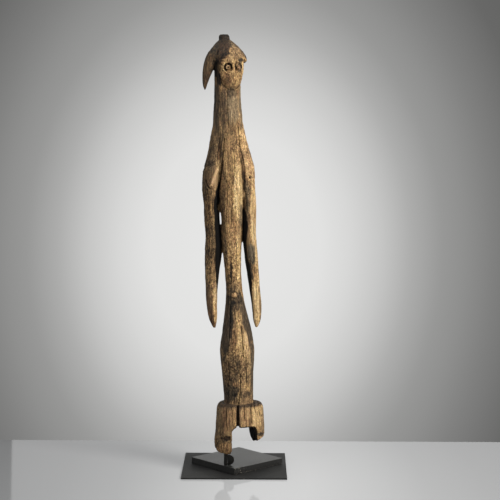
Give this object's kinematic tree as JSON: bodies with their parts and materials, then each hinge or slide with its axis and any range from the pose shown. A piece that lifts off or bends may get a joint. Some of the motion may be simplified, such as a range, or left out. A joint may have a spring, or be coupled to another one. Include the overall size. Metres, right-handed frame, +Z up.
{
  "type": "carved wooden figure on a steel stand",
  "caption": "Tall thin carved wooden figure with long free arms, ringed eyes and one long ear flap, held upright by a rod on two square steel plates.",
  "frame": {"origin": "middle of the underside of the lower plate, on the surface that the object stands on", "axes": "+Z up along the figure, the figure looks towards -Y and a little towards +X, the lower plate's sides lie along X and Y"},
  "size_m": [0.28, 0.28, 1.164],
  "materials": {
    "figure": "dry weathered hardwood, bright ochre where worn, nearly black patina in the hollows",
    "support_rod": "satin black",
    "support_lug": "satin black",
    "base_block": "blackened steel, satin top and rough cut edges",
    "base_plate": "blackened steel, satin"
  },
  "bodies": {
    "root": {"figure": "figure", "support_rod": "support_rod", "support_lug": "support_lug", "base_block": "base_block", "base_plate": "base_plate"}
  },
  "joints": []
}
